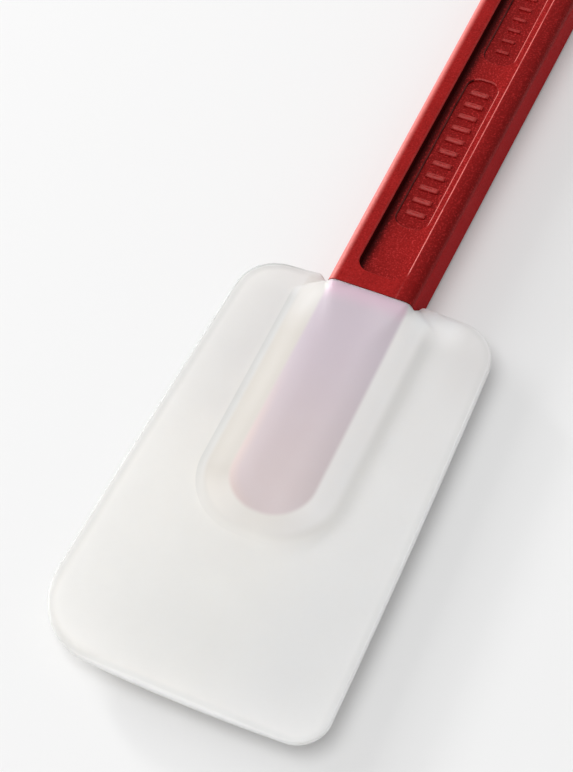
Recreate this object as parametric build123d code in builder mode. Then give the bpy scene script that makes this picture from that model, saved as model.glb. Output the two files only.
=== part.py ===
import os

from build123d import *

os.makedirs("parts", exist_ok=True)

# High-heat silicone spatula, lying flat: blade tip toward -Y, hanging end toward +Y.
# All sizes are millimetres. The middle plane of the handle is also that of the blade.

# Overall
overall_length = 343.0
handle_thickness = 13.5

# Handle bar
neck_width = 22.3
grip_width = 26.6
bar_edge_radius = 2.2
hang_end_radius = 12.0
hang_hole_radius = 4.5
hang_hole_inset = 13.0
hang_hole_edge = 0.6

# Long recess in both broad faces
recess_neck_gap = 5.1
recess_hang_gap = 27.0
recess_neck_width = 12.7
recess_hang_width = 13.7
recess_depth = 2.7
recess_corner_radius = 3.6
recess_draft = 5.0
rim_angle = 45.0
recess_rim = 0.35

# Shallow pockets in the recess floor
pocket_start = 18.2
pocket_length = 54.0
pocket_gap = 6.8
pocket_width = 8.5
pocket_corner_radius = 3.4
pocket_depth = 0.7
pocket_rim = 0.3

# Plain raised grip bars in the pockets
bar_length = 5.0
bar_width = 1.5
bar_pitch = 4.4
bar_height = 0.4
short_bar_share = 0.68

# Tongue inside the blade
tongue_width = 20.6
tongue_tip_width = 19.4
tongue_reach = 62.3
tongue_root_thickness = 9.8
tongue_tip_thickness = 3.8
tongue_tip_radius = 9.5

# Blade plate outline
blade_reach = 110.2
blade_wrap = 4.2
blade_top_fall = 1.0
blade_top_width = 65.2
blade_tip_width = 70.0
blade_side_bow = 0.65
blade_tip_bulge = 1.45
top_corner_radius = 10.6
broad_corner_radius = 15.5
sharp_corner_radius = 7.0
left_relief_width = 3.6
right_relief_width = 0.7
relief_radius = 1.2

# Blade plate thickness, a lens in section and thinner toward the tip
plate_root_thickness = 7.4
plate_middle_reach = 48.0
plate_middle_thickness = 3.8
plate_tip_thickness = 1.7
plate_rim_thickness = 1.2
plate_side_margin = 3.0
rim_chamfer = 0.3

# Slope on each face that thins the plate to its edge beside the handle
top_slope_reach = 9.2
top_slope_edge_height = 1.0
top_slope_root_height = 3.6

# Raised hub over the tongue, heights above the middle plane at the shoulder
hub_foot_height = 3.1
hub_foot_width = 37.5
hub_foot_tip_width = 36.2
hub_reach = 70.3
hub_end_flat = 5.0
hub_sink = 0.8
hub_fall_share = 0.028
hub_run_share = 3.1

# Collar that carries the handle's section into the hub
collar_reach = 8.0
collar_end_width = 14.0
collar_end_thickness = 12.4
collar_end_radius = 1.5

# Sloping shoulder on each side of the collar, heights above the middle plane
shoulder_lip_height = 4.3
shoulder_foot_reach = 3.6
shoulder_foot_height = 2.9
shoulder_ear_reach = 2.9
shoulder_ear_height = 2.2
shoulder_length = 9.0

# One overrun for every cut and every intersection
overrun = 2.0

# Positions that follow from the sizes above
middle = handle_thickness / 2
tip_y = -overall_length / 2
hang_y = overall_length / 2
shoulder_y = tip_y + blade_reach
wrap_y = shoulder_y + blade_wrap
hole_y = hang_y - hang_hole_inset
recess_start_y = shoulder_y + recess_neck_gap
recess_end_y = hang_y - recess_hang_gap
pocket_one_y = recess_start_y + pocket_start + pocket_length / 2
pocket_two_y = pocket_one_y + pocket_length + pocket_gap
recess_floor = handle_thickness - recess_depth
pocket_floor = recess_floor - pocket_depth
bars_per_pocket = int((pocket_length - bar_width) / bar_pitch)
plate_half = blade_tip_width / 2 + plate_side_margin
top_slope_share = (top_slope_root_height - top_slope_edge_height) / top_slope_reach
slope_end_y = wrap_y - top_slope_reach
rim_clearance = plate_rim_thickness / 4
upright_share = plate_rim_thickness / plate_half
blade_middle_half = (blade_top_width + blade_tip_width) / 4 + blade_side_bow
hub_end_radius = (hub_foot_tip_width - hub_end_flat) / 2
neck_half = neck_width / 2
grip_half = grip_width / 2

# Tongue: a wedge in side view with a round end in plan
with BuildPart() as tongue:
    with BuildSketch(Plane.YZ.offset(-tongue_width / 2)):
        with BuildLine():
            Polyline(
                (shoulder_y + overrun, middle - tongue_root_thickness / 2),
                (shoulder_y - tongue_reach, middle - tongue_tip_thickness / 2),
                (shoulder_y - tongue_reach, middle + tongue_tip_thickness / 2),
                (shoulder_y + overrun, middle + tongue_root_thickness / 2),
                close=True,
            )
        make_face()
    extrude(amount=tongue_width)
    with BuildSketch(Plane.XY) as tongue_outline:
        with BuildLine():
            Polyline(
                (-tongue_tip_width / 2, shoulder_y - tongue_reach),
                (tongue_tip_width / 2, shoulder_y - tongue_reach),
                (tongue_width / 2, shoulder_y + overrun),
                (-tongue_width / 2, shoulder_y + overrun),
                close=True,
            )
        make_face()
        fillet(tongue_outline.vertices().group_by(Axis.Y)[0], radius=tongue_tip_radius)
    extrude(amount=handle_thickness, mode=Mode.INTERSECT)

# Handle: a bar that widens to its rounded hanging end, recessed alike on both faces
with BuildPart() as handle:
    with BuildSketch(Plane.XY):
        with BuildLine():
            Polyline(
                (-neck_half, shoulder_y),
                (neck_half, shoulder_y),
                (grip_half, hang_y),
                (-grip_half, hang_y),
                close=True,
            )
        make_face()
    extrude(amount=handle_thickness)
    fillet(handle.edges().filter_by(Axis.Z).group_by(Axis.Y)[-1], radius=hang_end_radius)
    long_edges = handle.edges().filter_by(Plane.XY)
    fillet(long_edges.filter_by(lambda edge: edge.center().Y > shoulder_y + overrun), radius=bar_edge_radius)

    # Long recess: first its bevelled rim, then its drafted walls
    for growth, depth, draft in ((recess_rim, recess_rim, rim_angle), (0, recess_depth, recess_draft)):
        with BuildSketch(Plane.XY.offset(handle_thickness)) as recess_outline:
            with BuildLine():
                Polyline(
                    (-recess_neck_width / 2 - growth, recess_start_y - growth),
                    (recess_neck_width / 2 + growth, recess_start_y - growth),
                    (recess_hang_width / 2 + growth, recess_end_y + growth),
                    (-recess_hang_width / 2 - growth, recess_end_y + growth),
                    close=True,
                )
            make_face()
            fillet(recess_outline.vertices(), radius=recess_corner_radius + growth)
        extrude(amount=-depth, taper=draft, mode=Mode.SUBTRACT)

    # Two shallow pockets in the recess floor, cut in the same two steps
    for growth, depth, draft in ((pocket_rim, pocket_rim, rim_angle), (0, pocket_depth, recess_draft)):
        with BuildSketch(Plane.XY.offset(recess_floor)):
            with Locations((0, pocket_one_y), (0, pocket_two_y)):
                RectangleRounded(
                    pocket_width + 2 * growth,
                    pocket_length + 2 * growth,
                    pocket_corner_radius + growth,
                )
        extrude(amount=-depth, taper=draft, mode=Mode.SUBTRACT)

    # Plain raised grip bars across the pockets, shorter in the second
    with BuildSketch(Plane.XY.offset(pocket_floor)):
        with Locations((0, pocket_one_y)):
            with GridLocations(0, bar_pitch, 1, bars_per_pocket):
                Rectangle(bar_length, bar_width)
        with Locations((0, pocket_two_y)):
            with GridLocations(0, bar_pitch, 1, bars_per_pocket):
                Rectangle(bar_length * short_bar_share, bar_width * short_bar_share)
    extrude(amount=bar_height)

    # The underside repeats the upper face
    split(bisect_by=Plane.XY.offset(middle), keep=Keep.TOP)
    mirror(about=Plane.XY.offset(middle))

    # Hanging hole with eased edges
    with BuildSketch(Plane.XY):
        with Locations((0, hole_y)):
            Circle(hang_hole_radius)
    extrude(amount=handle_thickness, mode=Mode.SUBTRACT)
    round_edges = handle.edges().filter_by(GeomType.CIRCLE)
    hole_edges = round_edges.filter_by(lambda edge: abs(edge.center().Y - hole_y) < hang_hole_edge)
    chamfer(hole_edges.filter_by(lambda edge: edge.is_closed), length=hang_hole_edge)
    add(tongue.part)
handle.part.label = "handle"

# Outline of the blade: bowed sides, one broad and one tight corner at the tip,
# and a relief notch on each side of the handle
with BuildPart() as outline:
    with BuildSketch(Plane.XY):
        with BuildLine():
            Polyline(
                (-blade_top_width / 2, wrap_y - blade_top_fall),
                (-neck_half - left_relief_width, wrap_y),
                (-neck_half, shoulder_y),
                (neck_half, shoulder_y),
                (neck_half + right_relief_width, wrap_y),
                (blade_top_width / 2, wrap_y - blade_top_fall),
            )
            ThreePointArc(
                (blade_top_width / 2, wrap_y - blade_top_fall),
                (blade_middle_half, (wrap_y + tip_y) / 2),
                (blade_tip_width / 2, tip_y + blade_tip_bulge),
            )
            ThreePointArc(
                (blade_tip_width / 2, tip_y + blade_tip_bulge),
                (0, tip_y),
                (-blade_tip_width / 2, tip_y + blade_tip_bulge),
            )
            ThreePointArc(
                (-blade_tip_width / 2, tip_y + blade_tip_bulge),
                (-blade_middle_half, (wrap_y + tip_y) / 2),
                (-blade_top_width / 2, wrap_y - blade_top_fall),
            )
        make_face()
    extrude(amount=handle_thickness)
    corners = outline.edges().filter_by(Axis.Z).sort_by(Axis.Y)
    tip_corners = corners[:2].sort_by(Axis.X)
    relief_corners = corners[-2:]
    top_corners = corners[4:-2]
    fillet(tip_corners[0], radius=broad_corner_radius)
    fillet(tip_corners[1], radius=sharp_corner_radius)
    fillet(top_corners, radius=top_corner_radius)
    fillet(relief_corners, radius=relief_radius)

# Shoulders: the space above the sloping facet on each side of the collar
lip_corner = Vector(neck_half, shoulder_y, middle + shoulder_lip_height)
foot_corner = Vector(hub_foot_width / 2, shoulder_y - shoulder_foot_reach, middle + shoulder_foot_height)
ear_corner = Vector(neck_half, shoulder_y + shoulder_ear_reach, middle + shoulder_ear_height)
facet_normal = (foot_corner - lip_corner).cross(ear_corner - lip_corner)
facet_plane = Plane(origin=lip_corner, x_dir=foot_corner - lip_corner, z_dir=facet_normal)
with BuildPart() as shoulder_space:
    with BuildSketch(Plane.XY.offset(middle - overrun)):
        with BuildLine():
            Polyline(
                (neck_half, shoulder_y - shoulder_length),
                (plate_half, shoulder_y - shoulder_length),
                (plate_half, wrap_y + shoulder_length),
                (neck_half, wrap_y + shoulder_length),
                close=True,
            )
        make_face()
    extrude(amount=handle_thickness)
    split(bisect_by=facet_plane, keep=Keep.TOP)
    mirror(about=Plane.YZ)

# Slopes: the space above the plate's thinner edge beside the handle, on both faces
with BuildPart() as slope_space:
    with BuildSketch(Plane.YZ):
        with BuildLine():
            Polyline(
                (slope_end_y, middle + top_slope_root_height),
                (wrap_y + overrun, middle + top_slope_edge_height - overrun * top_slope_share),
                (wrap_y + overrun, handle_thickness),
                (slope_end_y, handle_thickness),
                close=True,
            )
        make_face()
    extrude(amount=plate_half, both=True)
    mirror(about=Plane.XY.offset(middle))

# Hub, upper half: a low tapered block that falls toward the tip, and the collar at the handle
with BuildPart() as hub:
    for level in (hub_foot_height - hub_sink, middle):
        inset = (level - hub_foot_height) * hub_run_share
        root_half = hub_foot_width / 2 - inset
        end_half = hub_foot_tip_width / 2 - inset
        level_origin = Vector(0, shoulder_y, middle + level)
        level_plane = Plane(origin=level_origin, x_dir=Vector(1, 0, 0), z_dir=Vector(0, -hub_fall_share, 1))
        with BuildSketch(level_plane) as hub_outline:
            with BuildLine():
                Polyline(
                    (-end_half, inset - hub_reach),
                    (end_half, inset - hub_reach),
                    (root_half, blade_wrap + overrun),
                    (-root_half, blade_wrap + overrun),
                    close=True,
                )
            make_face()
            fillet(hub_outline.vertices().group_by(Axis.Y)[0], radius=hub_end_radius - inset)
    loft(ruled=True)

    # Collar: the handle's own section at the shoulder, diving into the block
    with BuildSketch(Plane.XZ.offset(-shoulder_y)):
        with Locations((0, middle)):
            RectangleRounded(neck_width, handle_thickness, bar_edge_radius)
    with BuildSketch(Plane.XZ.offset(-(shoulder_y - collar_reach))):
        with Locations((0, middle)):
            RectangleRounded(collar_end_width, collar_end_thickness, collar_end_radius)
    loft()
    split(bisect_by=Plane.XY.offset(middle), keep=Keep.TOP)
    add(shoulder_space.part, mode=Mode.SUBTRACT)
    mirror(about=Plane.XY.offset(middle))
    add(outline.part, mode=Mode.INTERSECT)

# Blade: a lens-shaped plate with the hub on both sides, moulded over the tongue
with BuildPart() as blade:
    plate_stations = (
        (wrap_y + overrun, plate_root_thickness),
        (shoulder_y - plate_middle_reach, plate_middle_thickness),
        (tip_y - overrun, plate_tip_thickness),
    )
    for station_y, thickness in plate_stations:
        with BuildSketch(Plane.XZ.offset(-station_y)):
            with BuildLine():
                upper = middle + plate_rim_thickness / 2
                lower = middle - plate_rim_thickness / 2
                Line((-plate_half, lower), (-plate_half, upper))
                ThreePointArc((-plate_half, upper), (0, middle + thickness / 2), (plate_half, upper))
                Line((plate_half, upper), (plate_half, lower))
                ThreePointArc((plate_half, lower), (0, middle - thickness / 2), (-plate_half, lower))
            make_face()
    loft()
    add(slope_space.part, mode=Mode.SUBTRACT)
    add(outline.part, mode=Mode.INTERSECT)
    # Bevel of the rim, from the slopes beside the handle round to the tip
    side_faces = blade.faces().filter_by(lambda face: abs(face.normal_at().Z) < upright_share)
    rim_edges = side_faces.edges().filter_by(lambda edge: abs(edge.center().Z - middle) > rim_clearance)
    chamfer(rim_edges.filter_by(lambda edge: edge.center().Y < slope_end_y), length=rim_chamfer)
    add(hub.part)
    add(handle.part, mode=Mode.SUBTRACT)
blade.part.label = "blade"

export_step(handle.part, "parts/handle.step")
export_step(blade.part, "parts/blade.step")
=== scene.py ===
import logging
import math
from dataclasses import dataclass, field
from enum import Enum
from functools import partialmethod, reduce
from operator import mul
from typing import Any

import bmesh
import bpy
from mathutils import Matrix, Vector


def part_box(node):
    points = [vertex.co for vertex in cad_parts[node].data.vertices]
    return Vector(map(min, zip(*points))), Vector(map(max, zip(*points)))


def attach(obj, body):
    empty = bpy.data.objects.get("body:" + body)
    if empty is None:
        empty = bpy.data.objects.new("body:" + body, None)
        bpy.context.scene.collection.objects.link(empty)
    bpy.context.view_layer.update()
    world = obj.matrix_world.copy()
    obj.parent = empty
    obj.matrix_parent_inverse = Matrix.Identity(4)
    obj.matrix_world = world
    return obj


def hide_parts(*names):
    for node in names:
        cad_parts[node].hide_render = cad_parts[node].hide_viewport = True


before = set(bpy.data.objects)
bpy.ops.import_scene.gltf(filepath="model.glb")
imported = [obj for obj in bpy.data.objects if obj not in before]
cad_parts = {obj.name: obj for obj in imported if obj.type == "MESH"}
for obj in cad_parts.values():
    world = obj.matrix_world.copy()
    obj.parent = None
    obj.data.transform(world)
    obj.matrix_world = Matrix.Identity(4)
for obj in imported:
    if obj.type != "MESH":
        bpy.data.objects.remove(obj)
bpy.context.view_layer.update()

log = logging.getLogger("spatula")

MM = 0.001
WHITE = (1.0, 1.0, 1.0, 1.0)

Colour = tuple[float, float, float]


class Keep(Enum):
    """Which of two values is kept where they are joined."""

    LOWER = -1.0
    HIGHER = 1.0


class Value:
    """One socket of a node tree. Each operator on it adds a Math node."""

    def __init__(self, tree: "Tree", socket: bpy.types.NodeSocket) -> None:
        """Keeps the socket and its tree."""
        self.tree = tree
        self.socket = socket

    def math(self, operation: str, *others: Any) -> "Value":
        """Adds one Math node on this value and the others."""
        return self.tree.node("ShaderNodeMath", {"operation": operation}, (self, *others))

    def __rsub__(self, other: float) -> "Value":
        """A number less this value."""
        return self.tree.node("ShaderNodeMath", {"operation": "SUBTRACT"}, (other, self))

    __add__ = partialmethod(math, "ADD")
    __sub__ = partialmethod(math, "SUBTRACT")
    __mul__ = partialmethod(math, "MULTIPLY")
    __truediv__ = partialmethod(math, "DIVIDE")
    __pow__ = partialmethod(math, "POWER")
    __mod__ = partialmethod(math, "MODULO")
    __lt__ = partialmethod(math, "LESS_THAN")
    __neg__ = partialmethod(math, "MULTIPLY", -1.0)
    __abs__ = partialmethod(math, "ABSOLUTE")
    floor = partialmethod(math, "FLOOR")
    root = partialmethod(math, "SQRT")
    sign = partialmethod(math, "SIGN")
    sine = partialmethod(math, "SINE")
    cosine = partialmethod(math, "COSINE")
    least = partialmethod(math, "MINIMUM")
    most = partialmethod(math, "MAXIMUM")

    def within(self, low: Any, high: Any) -> "Value":
        """This value held between two others."""
        return self.most(low).least(high)

    def joined(self, other: "Value", softness: "Value", keep: Keep) -> "Value":
        """The lower or the higher of two values, with the corner between them rounded.

        Args:
            other: The value that this one is joined with.
            softness: How near the two values are where the rounding starts.
            keep: Whether the lower or the higher value is kept.

        Returns:
            The rounded result.
        """
        near = (1.0 - abs(self - other) / softness).most(0.0)
        corner = near * near * softness * (keep.value / 4)
        kept = self.most(other) if keep is Keep.HIGHER else self.least(other)
        return kept + corner

    def ramp(self, low: Any, high: Any, first: float = 0.0, last: float = 1.0) -> "Value":
        """A smooth step from first at low to last at high."""
        settings = {"interpolation_type": "SMOOTHSTEP", "clamp": True}
        return self.tree.node("ShaderNodeMapRange", settings, (self, low, high, first, last))

    def blend(self, other: Any, share: Any) -> "Value":
        """This value, with a share of it replaced by the other."""
        return self + (other - self) * share


def depth_inside(over: Value, beyond: Value, radius: Any) -> Value:
    """How deep a place lies inside an outline with a rounded corner.

    Args:
        over: How far the place is past the rounding's centre, sideways.
        beyond: How far it is past the same centre, lengthwise.
        radius: The rounding's radius.

    Returns:
        The depth, negative outside.
    """
    side = over.most(0.0)
    end = beyond.most(0.0)
    return radius - (side * side + end * end).root() - over.most(beyond).least(0.0)


class By(Enum):
    """What a fade runs along: a length in millimetres, or a noise from 0 to 1."""

    ACROSS = "across, negative on the photo's left"
    ASIDE = "from the middle line"
    HEIGHT = "from the middle plane"
    REACH = "from the shoulder toward the tip"
    IN_BLADE = "into the blade's outline"
    IN_HUB = "into the foot of the hub"
    IN_TONGUE = "into the tongue's outline"
    FROM_LEFT = "from the handle's left side"
    PAST_RECESS = "out from the recess's long edge"
    PAST_POCKET = "out from a pocket's long edge"
    FROM_NECK_END = "from the recess's near end"
    FROM_HANG_END = "from the recess's far end"
    GRAIN = "fine moulded grain"
    CLOUD = "broad cloud"


Spot = dict[By, Value]


@dataclass(frozen=True)
class Fade:
    """A strength that turns smoothly from first, up to start, into last, from end on."""

    measure: By
    start: float
    end: float
    first: float = 0.0
    last: float = 1.0

    def strength(self, at: Spot) -> Value:
        """The strength at each place."""
        return at[self.measure].ramp(self.start, self.end, self.first, self.last)


def fall(measure: By, start: float, end: float) -> Fade:
    """A fade from full strength at start to none at end."""
    return Fade(measure, start, end, 1.0, 0.0)


def together(fades: tuple[Fade, ...], at: Spot) -> Value:
    """The product of several fades."""
    return reduce(mul, (fade.strength(at) for fade in fades))


@dataclass(frozen=True)
class Wash:
    """A thin coat of one tone, which shows where all its fades are strong.

    A wash with a second tone turns into it along the turn's fades.
    """

    tone: Colour
    strength: float
    fades: tuple[Fade, ...]
    second: Colour | None = None
    turn: tuple[Fade, ...] = ()


class Tree:
    """A node tree that adds nodes through one method."""

    def __init__(self, graph: bpy.types.NodeTree) -> None:
        """Empties the tree and keeps it."""
        self.graph = graph
        graph.nodes.clear()

    def add(self, kind: str, settings: dict[str, Any], inputs: Any = ()) -> bpy.types.Node:
        """Adds a node.

        Args:
            kind: The node's type name.
            settings: Attributes that are set before the sockets.
            inputs: Constants and values, by place or by socket name.

        Returns:
            The node.
        """
        node = self.graph.nodes.new(kind)
        for name, setting in settings.items():
            setattr(node, name, setting)
        pairs = inputs.items() if isinstance(inputs, dict) else enumerate(inputs)
        usable = [socket for socket in node.inputs if socket.enabled]
        for key, given in pairs:
            socket = usable[key] if isinstance(key, int) else node.inputs[key]
            if isinstance(given, Value):
                self.graph.links.new(given.socket, socket)
            else:
                socket.default_value = given
        return node

    def node(self, kind: str, settings: dict[str, Any], inputs: Any = (), output: str = "") -> Value:
        """Adds a node and gives the named output, or the first one in use."""
        made = self.add(kind, settings, inputs)
        if output:
            return Value(self, made.outputs[output])
        return Value(self, next(socket for socket in made.outputs if socket.enabled))

    def split(self, vector: Value) -> tuple[Value, Value, Value]:
        """The three parts of a vector."""
        made = self.add("ShaderNodeSeparateXYZ", {}, (vector,))
        return tuple(Value(self, socket) for socket in made.outputs)

    def vector(self, x: Any, y: Any, z: Any) -> Value:
        """A vector of three parts."""
        return self.node("ShaderNodeCombineXYZ", {}, (x, y, z))

    def mix(self, share: Value, first: Any, second: Any) -> Value:
        """The first colour, with a share of it replaced by the second."""
        colours = [(*colour, 1.0) if isinstance(colour, tuple) else colour for colour in (first, second)]
        return self.node("ShaderNodeMix", {"data_type": "RGBA"}, (share, *colours))

    def lay(self, under: Any, wash: Wash, at: Spot, where: Value | None = None) -> Value:
        """Lays a wash over a colour.

        Args:
            under: The colour below.
            wash: The wash.
            at: What its fades run along at each place.
            where: How strongly each place takes it, besides its fades.

        Returns:
            The colour with the wash on it.
        """
        tone = wash.tone
        if wash.second is not None:
            tone = self.mix(together(wash.turn, at), wash.tone, wash.second)
        share = together(wash.fades, at) * wash.strength
        if where is not None:
            share = share * where
        return self.mix(share, under, tone)

    def noise(self, place: Value, scale: float, detail: float, roughness: float = 0.5) -> Value:
        """Cloudy noise from 0 to 1 at a place, with scale in waves per metre."""
        sockets = {"Vector": place, "Scale": scale, "Detail": detail, "Roughness": roughness}
        return self.node("ShaderNodeTexNoise", {}, sockets)

    def bump(self, height: Value, distance: float, strength: float) -> Value:
        """A Bump node's normal for a height field, with distance in metres."""
        return self.node("ShaderNodeBump", {}, {"Height": height, "Distance": distance, "Strength": strength})


def linked(name: str, data: Any) -> bpy.types.Object:
    """A new object with its data, in the scene."""
    made = bpy.data.objects.new(name, data)
    bpy.context.scene.collection.objects.link(made)
    return made


def new_material(name: str) -> tuple[bpy.types.Material, Tree]:
    """An empty node material and its tree."""
    material = bpy.data.materials.new(name)
    material.use_nodes = True
    return material, Tree(material.node_tree)


class ShapeTree(Tree):
    """A Geometry Nodes tree with one geometry in, named sizes and one geometry out."""

    def __init__(self, name: str, source: str, result: str, sizes: dict[str, float]) -> None:
        """Makes the group and its sockets.

        Args:
            name: The group's name.
            source: The name of the geometry input.
            result: The name of the geometry output.
            sizes: The named inputs with their values.
        """
        super().__init__(bpy.data.node_groups.new(name, "GeometryNodeTree"))
        sockets = self.graph.interface
        sockets.new_socket(source, in_out="INPUT", socket_type="NodeSocketGeometry")
        self.settings = {
            sockets.new_socket(size, in_out="INPUT", socket_type="NodeSocketFloat").identifier: length
            for size, length in sizes.items()
        }
        sockets.new_socket(result, in_out="OUTPUT", socket_type="NodeSocketGeometry")
        entry = self.add("NodeGroupInput", {})
        self.source = Value(self, entry.outputs[source])
        self.size = {size: Value(self, entry.outputs[size]) for size in sizes}

    def deliver(self, shape: Value, material: bpy.types.Material) -> None:
        """Ends the tree with a whole, smooth and dressed shape."""
        whole = self.node("GeometryNodeRealizeInstances", {}, {"Geometry": shape})
        smooth = self.node("GeometryNodeSetShadeSmooth", {}, {"Geometry": whole})
        dressed = self.node("GeometryNodeSetMaterial", {}, {"Geometry": smooth, "Material": material})
        self.add("NodeGroupOutput", {}, (dressed,))

    def mesh(self, host: bpy.types.Object, name: str) -> bpy.types.Mesh:
        """Runs the tree on an object, which is then removed.

        Args:
            host: The object that the tree starts from.
            name: The name of the mesh.

        Returns:
            The shape as a plain mesh.
        """
        shaper = host.modifiers.new("shape", "NODES")
        shaper.node_group = self.graph
        for identifier, length in self.settings.items():
            shaper[identifier] = length
        evaluated = host.evaluated_get(bpy.context.evaluated_depsgraph_get())
        mesh = bpy.data.meshes.new_from_object(evaluated)
        mesh.name = name
        host.modifiers.remove(shaper)
        bpy.data.objects.remove(host)
        return mesh


@dataclass(frozen=True)
class Layout:
    """Sizes and places that finishes and pieces share, in millimetres.

    Reach is measured from the shoulder toward the blade's tip.
    """

    corners: tuple[Vector, Vector] = field(default_factory=lambda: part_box("handle"))
    tongue_length: float = 62.3
    neck_half: float = 11.15
    grip_half: float = 13.3
    recess_neck_gap: float = 5.1
    recess_hang_gap: float = 27.0
    recess_half: float = 6.35
    recess_widening: float = 0.5
    pocket_half: float = 4.25
    reach: float = 110.2
    wrap: float = 4.2
    top_half: float = 32.6
    tip_half: float = 34.98
    side_bow: float = 0.63
    top_radius: float = 10.6
    broad_radius: float = 15.5
    sharp_radius: float = 7.0
    foot_half: float = 18.75
    foot_end_half: float = 18.1
    foot_reach: float = 70.0
    foot_end_radius: float = 15.6

    @property
    def middle(self) -> float:
        """Height of the middle plane."""
        return self.corners[1].z / MM / 2

    @property
    def hang_y(self) -> float:
        """The hanging end."""
        return self.corners[1].y / MM

    @property
    def shoulder_y(self) -> float:
        """The shoulder, where the tongue begins."""
        return self.corners[0].y / MM + self.tongue_length

    @property
    def recess_start(self) -> float:
        """The recess's end at the neck."""
        return self.shoulder_y + self.recess_neck_gap

    @property
    def recess_end(self) -> float:
        """The recess's end at the hanging hole."""
        return self.hang_y - self.recess_hang_gap

    def hub_half(self, reach: Value) -> Value:
        """Half the width of the hub's foot."""
        share = (reach / self.foot_reach).within(0.0, 1.0)
        return share * (self.foot_end_half - self.foot_half) + self.foot_half

    def in_hub(self, aside: Value, reach: Value) -> Value:
        """Depth inside the hub's foot, with its round end."""
        radius = self.foot_end_radius
        beyond = reach - (self.foot_reach - radius)
        return depth_inside(aside - (self.hub_half(reach) - radius), beyond, radius)


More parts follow.
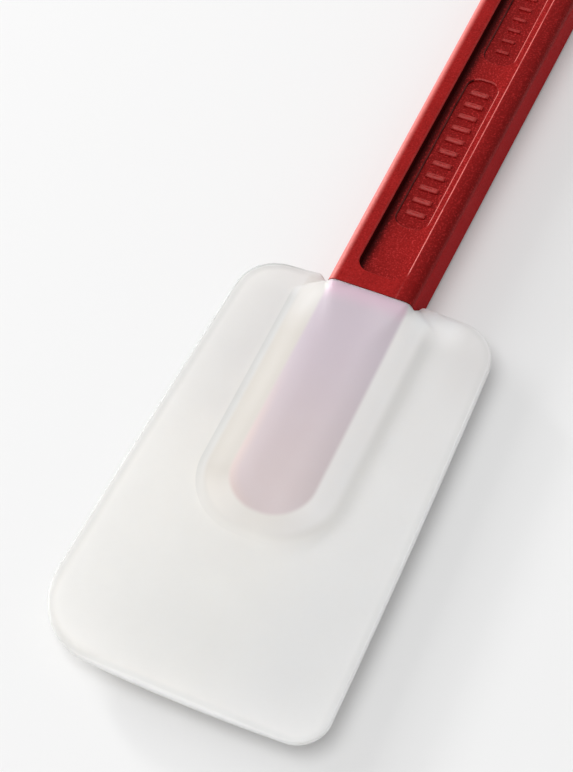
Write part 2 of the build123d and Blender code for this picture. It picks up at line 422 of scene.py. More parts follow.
@dataclass(frozen=True)
class SiliconeFinish:
    """Milky silicone with the nylon tongue showing through it.

    Light spreads inside it. Most washes are painted light and shade on the moulding: painted shade
    on the left and round the hub's foot, painted light on the right, and painted highlights on the rim
    and lip. Fades are in millimetres.
    """

    layout: Layout
    tongue_half: float = 10.2
    tongue_reach: float = 63.8
    tongue_radius: float = 9.5
    tip_inset: float = 0.6
    radius_turn: Fade = Fade(By.REACH, 48, 52)
    corner_turn: Fade = Fade(By.ACROSS, -1, 1)
    # Painted shade and light: the ground is darker toward the shoulder and lighter toward the tip.
    upper: Colour = (0.695, 0.68, 0.67)
    lower: Colour = (0.90, 0.865, 0.81)
    lower_fade: Fade = Fade(By.REACH, 15, 95)
    cloud_share: float = 0.5
    tongue: Colour = (0.62, 0.545, 0.60)
    tongue_edge: Fade = Fade(By.IN_TONGUE, -0.65, 0.65)
    pale_grey: Colour = (0.72, 0.72, 0.70)
    dark_grey: Colour = (0.35, 0.36, 0.36)
    near_white: Colour = (0.96, 0.96, 0.95)
    # Painted light and shade: the plate's right half is evened toward one tone.
    plate_right_light_and_shade: Wash = Wash((0.84, 0.83, 0.82), 0.7, (Fade(By.ACROSS, 0, 24),))
    # Painted light on the hub's right flank.
    right_flank_light: Wash = Wash((0.95, 0.93, 0.92), 0.75, (
        Fade(By.IN_HUB, 1.68, 3.84), Fade(By.ACROSS, 3, 12),
    ))
    # Painted shade along the hub's foot, darker on the left.
    foot_band_shade: Wash = Wash((0.54, 0.54, 0.53), 1.0, (
        Fade(By.IN_HUB, -0.15, 0.15), fall(By.IN_HUB, 1.8, 3), Fade(By.REACH, 54.4, 70, 1, 0.25),
        Fade(By.REACH, 2, 7), Fade(By.ACROSS, -15, 15, 0.62, 0.07),
    ), pale_grey, (Fade(By.ACROSS, -12, 12),))
    # Painted shade at the hub's round end.
    hub_end_shade: Wash = Wash((0.62, 0.60, 0.58), 0.3, (Fade(By.IN_HUB, 0.5, 3), Fade(By.REACH, 58, 65)))
    # Painted shade on the hub's left flank.
    left_flank_shade: Wash = Wash((0.58, 0.55, 0.51), 1.0, (
        Fade(By.IN_HUB, 1.32, 2.52), fall(By.ACROSS, -12, -3), fall(By.REACH, 56, 66),
        Fade(By.REACH, 4, 18, 0.4, 1),
    ))
    # Painted shade in a band just inside the blade's edge.
    edge_band_shade: Wash = Wash(pale_grey, 0.45, (Fade(By.IN_BLADE, 0.3, 0.7), fall(By.IN_BLADE, 1, 2.2)))
    # Painted shade on the plate's left side.
    plate_left_shade: Wash = Wash(pale_grey, 0.3, (fall(By.ACROSS, -34, -16),))
    # Painted shade on the blade's rounded left edge.
    left_round_shade: Wash = Wash(dark_grey, 0.38, (fall(By.IN_BLADE, 0.9, 3), fall(By.ACROSS, -26, -10)))
    # Painted highlight along the blade's edge, turning to painted shade on the left.
    rim: Wash = Wash(near_white, 1.0, (
        fall(By.IN_BLADE, 0.25, 0.8), Fade(By.REACH, 103, 108, 0.96, 0.36),
    ), dark_grey, (fall(By.ACROSS, -26, -6), Fade(By.REACH, 96, 108, 1, 0.4)))
    rim_sparing: tuple[Fade, ...] = (Fade(By.REACH, 4, 24, 0.52, 0), Fade(By.ACROSS, 12, 22))
    # Painted shade at the plate's upper right corner.
    right_corner_shade: Wash = Wash((0.66, 0.64, 0.64), 0.42, (
        fall(By.REACH, 4, 28), Fade(By.ACROSS, 19, 30),
    ))
    # Painted light on the right ear beside the handle.
    right_ear_light: Wash = Wash((0.98, 0.96, 0.95), 0.8, (
        fall(By.REACH, 0, 9), fall(By.ACROSS, 20, 26), Fade(By.ACROSS, 10.5, 14),
    ))
    tongue_low: Wash = Wash((0.67, 0.585, 0.59), 1.0, (Fade(By.REACH, 10, 60),))
    # Painted shade on the tongue's left side.
    tongue_left_shade: Wash = Wash((0.30, 0.26, 0.29), 0.16, (fall(By.ACROSS, -10, 6),))
    # Painted light on the tongue's right side.
    tongue_right_light: Wash = Wash((0.92, 0.87, 0.90), 0.16, (Fade(By.ACROSS, 0, 9),))
    lip_glow: Wash = Wash((0.74, 0.50, 0.61), 0.75, (fall(By.REACH, 0.3, 7),))
    # Painted highlight, warm and pale, along the tongue's left edge.
    warm_edge_highlight: Wash = Wash((0.70, 0.58, 0.54), 0.6, (
        fall(By.IN_TONGUE, 0, 3), fall(By.ACROSS, -9, 2), Fade(By.REACH, 20, 50),
    ))
    # Painted highlight along the lip.
    lip: Wash = Wash(near_white, 0.8, (fall(By.REACH, 0.15, 0.45), fall(By.ASIDE, 10.5, 11.2)))
    cloud_scale: float = 45.0
    cloud_detail: float = 3.0
    fine_scale: float = 2500.0
    fine_detail: float = 2.0
    fine_depth: float = 0.02
    fine_strength: float = 0.3
    roughness: float = 0.40
    roughness_spread: float = 0.08
    spread_radius: Colour = (1.0, 0.97, 0.94)
    spread_depth: float = 6.0
    refraction: float = 1.41

    def in_blade(self, at: Spot) -> Value:
        """Depth inside the blade's outline.

        Args:
            at: The place, across and in reach.

        Returns:
            The depth in millimetres.
        """
        shape = self.layout
        reach = at[By.REACH]
        share = (reach / shape.reach).within(0.0, 1.0)
        bow = (1.0 - (share * 2.0 - 1.0) ** 2.0) * shape.side_bow
        side = share * (shape.tip_half - shape.top_half) + shape.top_half + bow
        corner = self.corner_turn.strength(at)
        tip_radius = corner * (shape.sharp_radius - shape.broad_radius) + shape.broad_radius
        radius = tip_radius.blend(shape.top_radius, 1.0 - self.radius_turn.strength(at))
        reach_half = (shape.reach + shape.wrap) / 2
        lengthwise = abs(reach - (reach_half - shape.wrap)) - (reach_half - self.tip_inset - radius)
        return depth_inside(at[By.ASIDE] - (side - radius), lengthwise, radius)

    def measured(self, tree: Tree, place: Value, cloud: Value) -> Spot:
        """What the fades run along.

        Args:
            tree: The material's tree.
            place: The place on the blade, in metres.
            cloud: A broad cloud.

        Returns:
            A value for each measure that the silicone uses.
        """
        across, along, _ = tree.split(place)
        x = across / MM
        reach = self.layout.shoulder_y - along / MM
        over = abs(x) - (self.tongue_half - self.tongue_radius)
        beyond = reach - (self.tongue_reach - self.tongue_radius)
        at = {
            By.ACROSS: x,
            By.ASIDE: abs(x),
            By.REACH: reach,
            By.IN_TONGUE: depth_inside(over, beyond, self.tongue_radius),
            By.IN_HUB: self.layout.in_hub(abs(x), reach),
            By.CLOUD: cloud,
        }
        at[By.IN_BLADE] = self.in_blade(at)
        return at

    def make(self) -> bpy.types.Material:
        """Builds the material."""
        material, tree = new_material("silicone_milky")
        place = tree.node("ShaderNodeTexCoord", {}, (), "Object")
        cloud = tree.noise(place, self.cloud_scale, self.cloud_detail)
        at = self.measured(tree, place, cloud)

        # Painted shade toward the shoulder and painted light toward the tip, broken by the cloud.
        lower = self.lower_fade.strength(at) + (cloud - 0.5) * self.cloud_share
        ground = tree.mix(lower, self.upper, self.lower)
        # Painted light and shade on the plate and the hub, each wash laid in turn.
        for wash in (self.plate_right_light_and_shade, self.right_flank_light, self.foot_band_shade, self.hub_end_shade, self.left_flank_shade,
                     self.edge_band_shade, self.plate_left_shade, self.left_round_shade):
            ground = tree.lay(ground, wash, at)
        # Painted edge highlight and shade, spared near the right ear.
        ground = tree.lay(ground, self.rim, at, 1.0 - together(self.rim_sparing, at))
        for wash in (self.right_corner_shade, self.right_ear_light):
            ground = tree.lay(ground, wash, at)

        # The tongue seen through, with painted shade on its left, painted light on its right, a painted red
        # glow by the lip and a painted highlight on its left edge.
        under = tree.lay(self.tongue, self.tongue_low, at)
        for wash in (self.tongue_left_shade, self.tongue_right_light, self.lip_glow, self.warm_edge_highlight):
            under = tree.lay(under, wash, at)
        colour = tree.mix(self.tongue_edge.strength(at), ground, under)
        # Painted highlight along the lip.
        colour = tree.lay(colour, self.lip, at)

        fine = tree.noise(place, self.fine_scale, self.fine_detail)
        shader = tree.node("ShaderNodeBsdfPrincipled", {}, {
            "Base Color": colour,
            "Roughness": (cloud - 0.5) * self.roughness_spread + self.roughness,
            "Subsurface Weight": 1.0,
            "Subsurface Radius": self.spread_radius,
            "Subsurface Scale": self.spread_depth * MM,
            "IOR": self.refraction,
            "Normal": tree.bump(fine, self.fine_depth * MM, self.fine_strength),
        })
        tree.add("ShaderNodeOutputMaterial", {}, (shader,))
        return material


@dataclass(frozen=True)
class NylonFinish:
    """Moulded red nylon with a speckled grain, painted highlights and painted shade. Fades are in
    millimetres.
    """

    layout: Layout
    colour: Colour = (0.33, 0.0112, 0.0102)
    deep: Colour = (0.15, 0.002, 0.002)
    dark: Colour = (0.035, 0.0008, 0.0008)
    # Pale tone for the painted highlights.
    highlight_tone: Colour = (0.80, 0.20, 0.18)
    recess_faces: tuple[Fade, ...] = (fall(By.HEIGHT, 6.1, 6.4), fall(By.ASIDE, 6.65, 7.25))
    recess_left: Fade = fall(By.ACROSS, -6.4, -5.2)
    recess_rim: tuple[Fade, ...] = (
        Fade(By.PAST_RECESS, -0.12, 0.02), fall(By.PAST_RECESS, 0.21, 0.42), Fade(By.HEIGHT, 6.2, 6.4),
        Fade(By.FROM_NECK_END, 1.5, 3.5, 0.15, 1), Fade(By.FROM_HANG_END, 1.5, 3.5),
    )
    pocket_rim: tuple[Fade, ...] = (
        Fade(By.PAST_POCKET, -0.1, 0.02), fall(By.PAST_POCKET, 0.2, 0.35), fall(By.HEIGHT, 4, 4.04),
    )
    mottle: Wash = Wash(deep, 0.25, (Fade(By.CLOUD, 0.3, 0.7),))
    # Painted shade on the right rail.
    right_rail_shade: Wash = Wash(deep, 0.85, (Fade(By.ACROSS, 4, 9),))
    recess_shade: Wash = Wash(dark, 0.95, (fall(By.ACROSS, -6.4, -2.8),))
    pocket_shade: Wash = Wash(deep, 0.4, (fall(By.HEIGHT, 3.3, 3.8),))
    right_wall: Wash = Wash((0.40, 0.004, 0.006), 1.0, (
        fall(By.HEIGHT, 4.6, 6.2), Fade(By.ACROSS, 7, 9),
    ))
    # Painted shade on the handle's lower left wall.
    left_wall_shade: Wash = Wash(deep, 0.8, (fall(By.HEIGHT, 4.6, 5.4), fall(By.ACROSS, -9, -8)))
    specks: Wash = Wash((0.50, 0.03, 0.03), 1.0, (Fade(By.GRAIN, 0.52, 0.66),))
    specks_outside: float = 0.4
    specks_inside: float = 0.95
    pits: Wash = Wash(deep, 0.5, (fall(By.GRAIN, 0.32, 0.46),))
    # Painted shade on the pockets' steps, left and ends.
    pocket_step_shade: Wash = Wash(dark, 0.9, (
        Fade(By.HEIGHT, 3.40, 3.50), fall(By.HEIGHT, 3.95, 4.03), Fade(By.ASIDE, 3.05, 3.25),
        fall(By.ACROSS, 1, 3),
    ))
    # Painted shade on the recess's left wall.
    recess_wall_shade: Wash = Wash(dark, 0.97, (Fade(By.HEIGHT, 4, 4.3),))
    wall_shadow: Wash = Wash(dark, 0.85, (fall(By.ACROSS, -5.8, -4.3), Fade(By.HEIGHT, 3.6, 3.9)))
    # Painted shade on the pockets' left rims.
    pocket_left_shade: Wash = Wash(dark, 0.85, (fall(By.ACROSS, -2, 2),))
    # Painted highlight on the recess and pocket rims, stronger on the right.
    rim_highlight: Wash = Wash(highlight_tone, 1.0, (Fade(By.ACROSS, -2, 2, 0.1, 0.75), Fade(By.CLOUD, 0.25, 0.5)))
    # Painted highlight on the tops of the grip bars.
    crest_highlight: Wash = Wash(highlight_tone, 0.2, (
        Fade(By.HEIGHT, 3.62, 3.9), fall(By.HEIGHT, 4.035, 4.045), fall(By.ASIDE, 2.8, 3),
    ))
    left_sheen: Wash = Wash((0.85, 0.24, 0.22), 0.8, (
        fall(By.FROM_LEFT, 0.5, 2.5), Fade(By.HEIGHT, 4.8, 5.8),
    ))
    matt_sides: tuple[Fade, ...] = (fall(By.HEIGHT, 4.6, 6.2), Fade(By.ASIDE, 7, 9))
    grain_scale: float = 2200.0
    grain_detail: float = 3.0
    grain_roughness: float = 0.6
    grain_depth: float = 0.16
    grain_strength: float = 0.6
    cloud_scale: float = 120.0
    cloud_detail: float = 3.0
    roughness: float = 0.30
    roughness_spread: float = 0.15
    matt_roughness: float = 0.55
    reflection: float = 0.12

    def measured(self, tree: Tree, place: Value, grain: Value, cloud: Value) -> Spot:
        """What the fades run along.

        Args:
            tree: The material's tree.
            place: The place on the handle, in metres.
            grain: The fine grain.
            cloud: A broad cloud.

        Returns:
            A value for each measure that the nylon uses.
        """
        plan = self.layout
        across, along, up = tree.split(place)
        x = across / MM
        y = along / MM
        recess_share = ((y - plan.recess_start) / (plan.recess_end - plan.recess_start)).within(0.0, 1.0)
        bar_share = ((y - plan.shoulder_y) / (plan.hang_y - plan.shoulder_y)).within(0.0, 1.0)
        return {
            By.ACROSS: x,
            By.ASIDE: abs(x),
            By.HEIGHT: abs(up / MM - plan.middle),
            By.FROM_LEFT: x + plan.neck_half + bar_share * (plan.grip_half - plan.neck_half),
            By.PAST_RECESS: abs(x) - plan.recess_half - recess_share * plan.recess_widening,
            By.PAST_POCKET: abs(x) - plan.pocket_half,
            By.FROM_NECK_END: y - plan.recess_start,
            By.FROM_HANG_END: plan.recess_end - y,
            By.GRAIN: grain,
            By.CLOUD: cloud,
        }

    def make(self) -> bpy.types.Material:
        """Builds the material."""
        material, tree = new_material("nylon_red")
        place = tree.node("ShaderNodeTexCoord", {}, (), "Object")
        grain = tree.noise(place, self.grain_scale, self.grain_detail, self.grain_roughness)
        cloud = tree.noise(place, self.cloud_scale, self.cloud_detail)
        at = self.measured(tree, place, grain, cloud)
        recess = together(self.recess_faces, at)
        far_wall = recess * self.recess_left.strength(at)
        pocket_rim = recess * together(self.pocket_rim, at)
        rims = (together(self.recess_rim, at) + pocket_rim).least(1.0)
        specks = recess * (self.specks_inside - self.specks_outside) + self.specks_outside

        colour = tree.lay(self.colour, self.mottle, at)
        for wash, where in (
            (self.right_rail_shade, 1.0 - recess),
            (self.recess_shade, recess),
            (self.pocket_shade, recess),
            (self.right_wall, None),
            (self.left_wall_shade, None),
            (self.specks, specks * (1.0 - far_wall)),
            (self.pits, None),
            (self.pocket_step_shade, recess),
            (self.recess_wall_shade, far_wall),
            (self.wall_shadow, recess),
            (self.pocket_left_shade, pocket_rim),
            (self.rim_highlight, rims),
            (self.crest_highlight, recess),
            (self.left_sheen, None),
        ):
            colour = tree.lay(colour, wash, at, where)

        matt = together(self.matt_sides, at) * self.matt_roughness
        shader = tree.node("ShaderNodeBsdfPrincipled", {}, {
            "Base Color": colour,
            "Roughness": (cloud - 0.5) * self.roughness_spread + self.roughness + matt,
            "Specular IOR Level": self.reflection,
            "Normal": tree.bump(grain, self.grain_depth * MM, self.grain_strength),
        })
        tree.add("ShaderNodeOutputMaterial", {}, (shader,))
        return material


@dataclass(frozen=True)
class FloorFinish:
    """Plain pale floor that keeps the shadow and shows as near white."""

    colour: float = 0.86
    lift: float = 0.12

    def make(self) -> bpy.types.Material:
        """Builds the material."""
        material, tree = new_material("floor_pale")
        plain = tree.node("ShaderNodeBsdfDiffuse", {}, {"Color": (self.colour,) * 3 + (1.0,)})
        white = tree.node("ShaderNodeEmission", {}, {"Color": WHITE, "Strength": 1.0})
        rays = ("Is Camera Ray", "Is Glossy Ray", "Is Transmission Ray")
        seen, mirrored, through = (tree.node("ShaderNodeLightPath", {}, (), ray) for ray in rays)
        shown = (seen + mirrored + through).least(1.0)
        shader = tree.node("ShaderNodeMixShader", {}, (shown * self.lift, plain, white))
        tree.add("ShaderNodeOutputMaterial", {}, (shader,))
        return material


@dataclass
class Blade:
    """The silicone blade: a thin lens-shaped plate with a raised hub round the tongue.

    A rule gives the height of its faces at each place, so that plate, flanks, crown and lip flow
    into each other. Sizes are millimetres.
    """

    layout: Layout
    top_fall: float = 1.0
    tip_bulge: float = 1.45
    bulge_start_share: float = 0.75
    left_relief: float = 3.6
    right_relief: float = 0.7
    relief_radius: float = 1.2
    lip_runs: int = 22
    relief_runs: int = 9
    top_runs: int = 18
    side_runs: int = 60
    tip_runs: int = 26
    relief_steps: int = 4
    top_steps: int = 14
    tip_steps: int = 16
    spine_start: float = 30.0
    spine_end: float = 80.0
    core_start: float = 20.0
    core_end: float = 90.0
    core_half: float = 11.5
    core_rings: int = 20
    outer_rings: int = 72
    rim_steps: int = 4
    weld: float = 0.002
    form: dict[str, float] = field(default_factory=lambda: {
        "rim radius": 0.45,
        "rim half": 0.6,
        "plate root half": 3.7,
        "plate tip half": 0.85,
        "plate side": 38.0,
        "plate thinning": 1.8,
        "top slope reach": 9.2,
        "band width": 2.4,
        "band rise": 0.5,
        "band softness": 0.35,
        "flank slope": 0.32,
        "crown height": 6.73,
        "crown slope": 0.032,
        "crown camber": 0.006,
        "camber fade": 14.0,
        "crown softness": 1.2,
        "shoulder slope": 0.82,
        "shoulder lean": 0.656,
        "shoulder back": 2.9,
        "shoulder softness": 0.4,
        "island softness": 0.3,
        "terrace rise": 0.03,
        "terrace fade start": 2.0,
        "terrace fade end": 8.0,
        "lip radius": 2.2,
        "lip growth": 0.3,
        "lip sink": 0.06,
        "collar fall": 4.0,
        "collar softness": 0.1,
        "collar soft reach": 12.0,
    })

    def corner(self, before: Vector, at: Vector, after: Vector, radius: float, steps: int) -> list[Vector]:
        """Points of a rounded corner.

        Args:
            before: The corner before this one.
            at: The corner.
            after: The corner after this one.
            radius: The radius of its rounding.
            steps: How many runs the arc has.

        Returns:
            The arc's points in order.
        """
        one = (before - at).normalized()
        two = (after - at).normalized()
        half_angle = math.acos(max(-1.0, min(1.0, one.dot(two)))) / 2
        run = radius / math.tan(half_angle)
        centre = at + (one + two).normalized() * (radius / math.sin(half_angle))
        start = (at + one * run) - centre
        end = (at + two * run) - centre
        turn = start.angle(end)
        points = []
        for step in range(steps + 1):
            share = step / steps
            arm = (start * math.sin((1 - share) * turn) + end * math.sin(share * turn)) / math.sin(turn)
            points.append(centre + arm)
        return points

    def bent(self, point: Vector, side: float) -> Vector:
        """A point of the straight-sided outline, moved onto the bowed sides and the bulging tip.

        Args:
            point: The point, on the right half.
            side: 1 for the right half, -1 for the left.

        Returns:
            The point as x across and reach along.
        """
        shape = self.layout
        across = (point.x / shape.tip_half) ** 2
        middle = (shape.reach - shape.wrap) / 2
        length = (shape.reach + shape.wrap) / 2
        bow = shape.side_bow * (1 - ((point.y - middle) / length) ** 2) * across
        start = self.bulge_start_share * shape.reach
        near_tip = max(0.0, min(1.0, (point.y - start) / (shape.reach - start)))
        bulge = self.tip_bulge * (1 - across) * near_tip ** 2
        return Vector((side * (point.x + max(0.0, bow)), point.y + bulge))

    def half_outline(self, side: float, relief: float, tip_radius: float) -> list[Vector]:
        """Points of one half of the outline, from the middle of the lip to the middle of the tip.

        Args:
            side: 1 for the right half, -1 for the left.
            relief: How far the notch beside the handle opens.
            tip_radius: The radius of that side's tip corner.

        Returns:
            Points as x across and reach along, in millimetres.
        """
        shape = self.layout
        neck_half = shape.neck_half
        centre_lip = Vector((0.0, 0.0))
        lip = Vector((neck_half, 0.0))
        ear = Vector((neck_half + relief, -shape.wrap))
        top = Vector((shape.top_half, -shape.wrap + self.top_fall))
        tip = Vector((shape.tip_half, shape.reach - self.tip_bulge))
        centre_tip = Vector((0.0, tip.y))
        stops = [
            ([centre_lip], self.lip_runs),
            ([lip], self.relief_runs),
            (self.corner(lip, ear, top, self.relief_radius, self.relief_steps), self.top_runs),
            (self.corner(ear, top, tip, shape.top_radius, self.top_steps), self.side_runs),
            (self.corner(top, tip, centre_tip, tip_radius, self.tip_steps), self.tip_runs),
            ([centre_tip], 0),
        ]
        points: list[Vector] = []
        for (arc, runs), (next_arc, _) in zip(stops, stops[1:]):
            points.extend(arc)
            points.extend(arc[-1].lerp(next_arc[0], step / runs) for step in range(1, runs))
        points.append(centre_tip)
        return [self.bent(point, side) for point in points]

    def wire(self) -> bpy.types.Object:
        """The outline as a closed wire, its first point at the middle of the lip."""
        right = self.half_outline(1.0, self.right_relief, self.layout.sharp_radius)
        left = self.half_outline(-1.0, self.left_relief, self.layout.broad_radius)
        points = [(point.x, self.layout.shoulder_y - point.y, 0.0) for point in right + left[-2:0:-1]]
        edges = [(number, (number + 1) % len(points)) for number in range(len(points))]
        mesh = bpy.data.meshes.new("blade_outline")
        mesh.from_pydata(points, edges, [])
        return linked("blade_outline", mesh)

    def surface(self, size: dict[str, Value], x: Value, reach: Value) -> Value:
        """Height of the upper face above the middle plane.

        Args:
            size: The tree's named inputs.
            x: Distance across from the middle line.
            reach: Distance from the shoulder toward the tip.

        Returns:
            The height in millimetres.
        """
        shape = self.layout
        aside = abs(x)
        neck_half = shape.neck_half
        share = (reach / shape.reach).within(0.0, 1.0)
        rim = size["rim half"]
        core = size["plate tip half"].blend(size["plate root half"], (1.0 - share) ** size["plate thinning"])
        near_top = 1.0 - ((reach + shape.wrap) / size["top slope reach"]).within(0.0, 1.0)
        plate = rim + (core - rim) * (1.0 - (x / size["plate side"]) ** 2.0) * (1.0 - near_top * near_top)

        inward = shape.in_hub(aside, reach)
        terrace_fade = 1.0 - reach.ramp(size["terrace fade start"], size["terrace fade end"])
        terrace = plate + (shape.hub_half(reach) - aside).most(0.0) * size["terrace rise"] * terrace_fade
        band = inward * (size["band rise"] / size["band width"])
        climb = size["band rise"] + (inward - size["band width"]) * size["flank slope"]
        flank = plate + band.joined(climb, size["band softness"], Keep.HIGHER)
        lean = size["shoulder lean"]
        along = (reach + size["shoulder back"]) * (1.0 - lean * lean).root()
        cut = terrace + (along - (aside - neck_half) * lean) * size["shoulder slope"]
        top = size["crown height"] - reach * size["crown slope"]
        crown = top - x * x * (size["crown camber"] * reach.ramp(0.0, size["camber fade"]))
        island = flank.joined(crown, size["crown softness"], Keep.LOWER)
        island = island.joined(cut, size["shoulder softness"], Keep.LOWER)
        body = terrace.joined(island, size["island softness"], Keep.HIGHER)

        round_lip = size["lip radius"] + reach.most(0.0) * size["lip growth"]
        bend = (aside - (neck_half - round_lip)).within(0.0, round_lip)
        drop = round_lip - (round_lip * round_lip - bend * bend).most(0.0).root()
        past = (aside - neck_half).most(0.0) * size["collar fall"]
        collar = top - drop - past - reach * size["lip sink"]
        softness = (reach.within(0.0, size["collar soft reach"]) + 1.0) * size["collar softness"]
        return body.joined(collar, softness, Keep.HIGHER)

    def tree(self, material: bpy.types.Material) -> ShapeTree:
        """The Geometry Nodes tree that makes the blade from its outline.

        A grid has one column for each point of the outline. Its rows run from the middle of the
        upper face, over the rim, to the middle of the lower face.

        Args:
            material: The finish that the tree sets on the faces.

        Returns:
            The tree.
        """
        tree = ShapeTree("blade_shape", "Outline", "Blade", self.form)
        count = tree.node("GeometryNodeAttributeDomainSize", {}, (tree.source,), "Point Count")
        rings = self.core_rings + self.outer_rings
        half_rows = rings + self.rim_steps + 1
        grid_sockets = {"Vertices X": count + 1.0, "Vertices Y": 2 * half_rows}
        grid = tree.node("GeometryNodeMeshGrid", {}, grid_sockets, "Mesh")
        index = tree.node("GeometryNodeInputIndex", {})
        column = ((index + 0.5) / float(2 * half_rows)).floor()
        row = index - column * float(2 * half_rows)
        upper = row < half_rows - 0.5
        ring = row.least(2.0 * half_rows - 1.0 - row)
        where = tree.node("GeometryNodeInputPosition", {})

        def sampled(number: Value) -> tuple[Value, Value, Value]:
            """The outline's point with that number."""
            settings = {"data_type": "FLOAT_VECTOR", "domain": "POINT"}
            sockets = {"Geometry": tree.source, "Value": where, "Index": (number + 0.5).floor()}
            return tree.split(tree.node("GeometryNodeSampleIndex", settings, sockets))

        here_x, here_y, _ = sampled(column % count)
        next_x, next_y, _ = sampled((column + 1.0) % count)
        last_x, last_y, _ = sampled((column + count - 1.0) % count)
        _, twin_y, _ = sampled((count - column % count) % count)
        run_x = next_x - last_x
        run_y = next_y - last_y
        run = (run_x * run_x + run_y * run_y).root()
        in_x = run_y / run
        in_y = -(run_x / run)

        size = tree.size
        radius = size["rim radius"]
        shoulder_y = self.layout.shoulder_y
        turn = ((ring - float(rings)) / float(self.rim_steps)).within(0.0, 1.0) * (math.pi / 2)
        near = (ring / float(self.core_rings)).least(1.0)
        far = ((ring - float(self.core_rings)) / float(self.outer_rings)).within(0.0, 1.0)
        spine = ((here_y + twin_y) * 0.5).within(shoulder_y - self.spine_end, shoulder_y - self.spine_start)
        core_x = here_x.within(-self.core_half, self.core_half)
        core_y = here_y.within(shoulder_y - self.core_end, shoulder_y - self.core_start)
        x = (core_x * near).blend(here_x + in_x * radius, far)
        y = spine.blend(core_y, near).blend(here_y + in_y * radius, far)
        height = self.surface(size, x, shoulder_y - y) - radius * (1.0 - turn.cosine())
        final_x = x - in_x * radius * turn.sine()
        final_y = y - in_y * radius * turn.sine()
        final_z = height * (upper * 2.0 - 1.0) + self.layout.middle
        spot = tree.vector(final_x * MM, final_y * MM, final_z * MM)
        shaped = tree.node("GeometryNodeSetPosition", {}, {"Geometry": grid, "Position": spot})
        merge_sockets = {"Geometry": shaped, "Distance": self.weld * MM}
        tree.deliver(tree.node("GeometryNodeMergeByDistance", {}, merge_sockets), material)
        return tree

    def build(self, finish: SiliconeFinish) -> None:
        """Builds the blade as a plain mesh in its finish."""
        mesh = self.tree(finish.make()).mesh(self.wire(), "silicone_blade")
        blade = linked("silicone_blade", mesh)
        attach(blade, "root")
        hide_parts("blade")
        log.info("blade: %d faces", len(mesh.polygons))


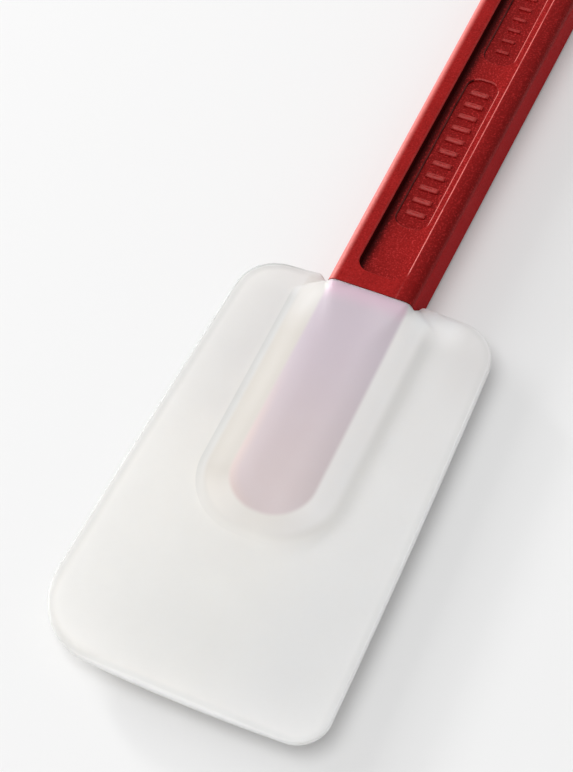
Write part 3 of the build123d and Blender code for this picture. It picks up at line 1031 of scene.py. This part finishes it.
@dataclass
class Handle:
    """The nylon handle with softened edges, and the rounded grip bars in its pockets.

    Sizes are millimetres, angles degrees.
    """

    layout: Layout
    weld: float = 0.001
    soft_angle: float = 56.0
    face_weight: int = 90
    pocket_start: float = 18.2
    pocket_length: float = 54.0
    pocket_gap: float = 6.8
    pocket_floor: float = 3.4
    bar_length: float = 5.2
    bar_width: float = 1.9
    bar_height: float = 0.7
    bar_pitch: float = 4.4
    short_share: float = 0.68
    bars_per_pocket: int = 11
    bar_segments: int = 20
    bar_rings: int = 12

    def shell(self, material: bpy.types.Material) -> None:
        """Builds the handle's own form, with its bevels shaded as round edges."""
        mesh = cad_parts["handle"].data.copy()
        work = bmesh.new()
        work.from_mesh(mesh)
        bmesh.ops.remove_doubles(work, verts=work.verts, dist=self.weld * MM)
        work.to_mesh(mesh)
        work.free()
        if "custom_normal" in mesh.attributes:
            mesh.attributes.remove(mesh.attributes["custom_normal"])
        mesh.shade_smooth()
        mesh.set_sharp_from_angle(angle=math.radians(self.soft_angle))
        mesh.materials.clear()
        mesh.materials.append(material)
        draft = linked("handle_draft", mesh)
        weigh = draft.modifiers.new("weigh", "WEIGHTED_NORMAL")
        weigh.weight = self.face_weight
        weigh.keep_sharp = True
        evaluated = draft.evaluated_get(bpy.context.evaluated_depsgraph_get())
        final = bpy.data.meshes.new_from_object(evaluated)
        final.name = "nylon_handle"
        bpy.data.objects.remove(draft)
        handle = linked("nylon_handle", final)
        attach(handle, "root")
        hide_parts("handle")
        log.info("handle: %d faces", len(final.polygons))

    def bar_tree(self, material: bpy.types.Material) -> ShapeTree:
        """The Geometry Nodes tree that sets rounded bars along both pockets, on both faces.

        Args:
            material: The nylon.

        Returns:
            The tree.
        """
        first_pocket = self.layout.recess_start + self.pocket_start + self.pocket_length / 2
        tree = ShapeTree("grip_bars", "Start", "Bars", {
            "bar length": self.bar_length,
            "bar width": self.bar_width,
            "bar height": self.bar_height,
            "bar pitch": self.bar_pitch,
            "short share": self.short_share,
            "first pocket": first_pocket,
            "second pocket": first_pocket + self.pocket_length + self.pocket_gap,
            "upper floor": self.layout.middle * 2 - self.pocket_floor,
            "lower floor": self.pocket_floor,
        })
        size = tree.size
        ball_sockets = {"Segments": self.bar_segments, "Rings": self.bar_rings, "Radius": MM}
        ball = tree.node("GeometryNodeMeshUVSphere", {}, ball_sockets)
        x, y, z = tree.split(tree.node("GeometryNodeInputPosition", {}))
        half_width = size["bar width"] / 2.0
        stretch = size["bar length"] / 2.0 - half_width
        pill = tree.vector(x * half_width + x.sign() * stretch * MM, y * half_width, z * size["bar height"])
        bar = tree.node("GeometryNodeSetPosition", {}, {"Geometry": ball, "Position": pill})
        first_bar = size["bar pitch"] * (-0.5 * (self.bars_per_pocket - 1))
        step = tree.vector(0.0, size["bar pitch"] * MM, 0.0)
        rows = []
        for pocket, scale in (("first pocket", (1.0, 1.0, 1.0)), ("second pocket", size["short share"])):
            for floor in ("upper floor", "lower floor"):
                start = tree.vector(0.0, (size[pocket] + first_bar) * MM, size[floor] * MM)
                line_sockets = {"Count": self.bars_per_pocket, "Start Location": start, "Offset": step}
                line = tree.node("GeometryNodeMeshLine", {"mode": "OFFSET"}, line_sockets)
                row_sockets = {"Points": line, "Instance": bar, "Scale": scale}
                rows.append(tree.node("GeometryNodeInstanceOnPoints", {}, row_sockets))
        joined = tree.add("GeometryNodeJoinGeometry", {})
        for row in reversed(rows):
            tree.graph.links.new(row.socket, joined.inputs["Geometry"])
        tree.deliver(Value(tree, joined.outputs["Geometry"]), material)
        return tree

    def bars(self, material: bpy.types.Material) -> None:
        """Builds the grip bars as a plain mesh."""
        start = linked("bar_start", bpy.data.meshes.new("bar_start"))
        mesh = self.bar_tree(material).mesh(start, "grip_bars")
        bars = linked("grip_bars", mesh)
        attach(bars, "root")
        log.info("grip bars: %d faces", len(mesh.polygons))

    def build(self, finish: NylonFinish) -> None:
        """Builds the handle and its bars in one finish."""
        material = finish.make()
        self.shell(material)
        self.bars(material)


@dataclass(frozen=True)
class Lamp:
    """A square soft lamp, in metres and watts."""

    name: str
    place: tuple[float, float, float]
    aim: tuple[float, float, float]
    size: float
    power: float

    def hang(self) -> None:
        """Adds the lamp to the scene."""
        data = bpy.data.lights.new(self.name, "AREA")
        data.energy = self.power
        data.size = self.size
        lamp = linked(self.name, data)
        lamp.location = self.place
        lamp.rotation_euler = (Vector(self.place) - Vector(self.aim)).to_track_quat("Z", "Y").to_euler()


@dataclass
class Studio:
    """Pale floor, soft lamps from the left and a white world. Lengths are metres."""

    world_strength: float = 0.36
    floor_half: float = 2.0
    lamps: tuple[Lamp, ...] = (
        Lamp("key_lamp", (-2.10, 0.40, 0.74), (0.0, -0.08, 0.0), 1.6, 30.0),
        Lamp("edge_lamp", (-1.92, 0.90, 0.62), (0.0, -0.08, 0.0), 0.25, 18.0),
        Lamp("top_lamp", (-0.30, -0.50, 2.20), (0.0, -0.05, 0.0), 1.6, 26.0),
    )

    def floor(self) -> None:
        """Adds the floor."""
        half = self.floor_half
        corners = [(-half, -half, 0.0), (half, -half, 0.0), (half, half, 0.0), (-half, half, 0.0)]
        mesh = bpy.data.meshes.new("floor")
        mesh.from_pydata(corners, [], [(0, 1, 2, 3)])
        mesh.materials.append(FloorFinish().make())
        floor = linked("floor", mesh)

    def world(self) -> None:
        """Adds the world, which the camera sees as white."""
        world = bpy.data.worlds.new("studio")
        bpy.context.scene.world = world
        world.use_nodes = True
        tree = Tree(world.node_tree)
        seen = tree.node("ShaderNodeLightPath", {}, (), "Is Camera Ray")
        plain = tree.node("ShaderNodeBackground", {}, {"Color": WHITE, "Strength": self.world_strength})
        white = tree.node("ShaderNodeBackground", {}, {"Color": WHITE, "Strength": 1.0})
        mixed = tree.node("ShaderNodeMixShader", {}, (seen, plain, white))
        tree.add("ShaderNodeOutputWorld", {}, (mixed,))

    def build(self) -> None:
        """Adds the floor, the lamps and the world."""
        self.floor()
        for lamp in self.lamps:
            lamp.hang()
        self.world()
        log.info("studio: %d lamps", len(self.lamps))


@dataclass
class PhotoCamera:
    """Camera at the photograph's viewing angle. Lengths are millimetres, angles degrees."""

    image_height: float = 772.0
    image_middle: tuple[float, float] = (286.5, 386.0)
    focal_pixels: float = 1656.25
    azimuth: float = 28.97
    elevation: float = 55.528
    roll: float = -4.975
    aim_pixel: tuple[float, float] = (370.345, 289.78)
    aim_point: tuple[float, float, float] = (0.0, -61.3, 13.5)
    distance: float = 394.53
    film: float = 36.0
    nearest: float = 10.0

    def build(self) -> None:
        """Adds the camera and makes it the scene's own."""
        angles = (self.azimuth, self.elevation, self.roll)
        azimuth, elevation, roll = (math.radians(angle) for angle in angles)
        flat = math.cos(elevation)
        back = Vector((math.sin(azimuth) * flat, -math.cos(azimuth) * flat, math.sin(elevation)))
        level = Vector((0, 0, 1)).cross(back).normalized()
        rise = back.cross(level)
        right = math.cos(roll) * level + math.sin(roll) * rise
        up = -math.sin(roll) * level + math.cos(roll) * rise
        off_right = (self.aim_pixel[0] - self.image_middle[0]) / self.focal_pixels * self.distance
        off_up = -(self.aim_pixel[1] - self.image_middle[1]) / self.focal_pixels * self.distance
        place = Vector(self.aim_point) - off_right * right - off_up * up + self.distance * back
        data = bpy.data.cameras.new("camera")
        data.lens = self.focal_pixels / self.image_height * self.film
        data.sensor_width = self.film
        data.clip_start = self.nearest * MM
        camera = linked("camera", data)
        matrix = Matrix((right, up, back)).transposed().to_4x4()
        matrix.translation = place * MM
        camera.matrix_world = matrix
        bpy.context.scene.camera = camera
        log.info("camera: lens %.1f", data.lens)


def main() -> None:
    """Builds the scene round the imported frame."""
    logging.basicConfig(level=logging.INFO, format="%(name)s: %(message)s")
    bpy.context.scene.view_settings.view_transform = "Standard"
    layout = Layout()
    PhotoCamera().build()
    Studio().build()
    Handle(layout).build(NylonFinish(layout))
    Blade(layout).build(SiliconeFinish(layout))


if __name__ == "__main__":
    main()
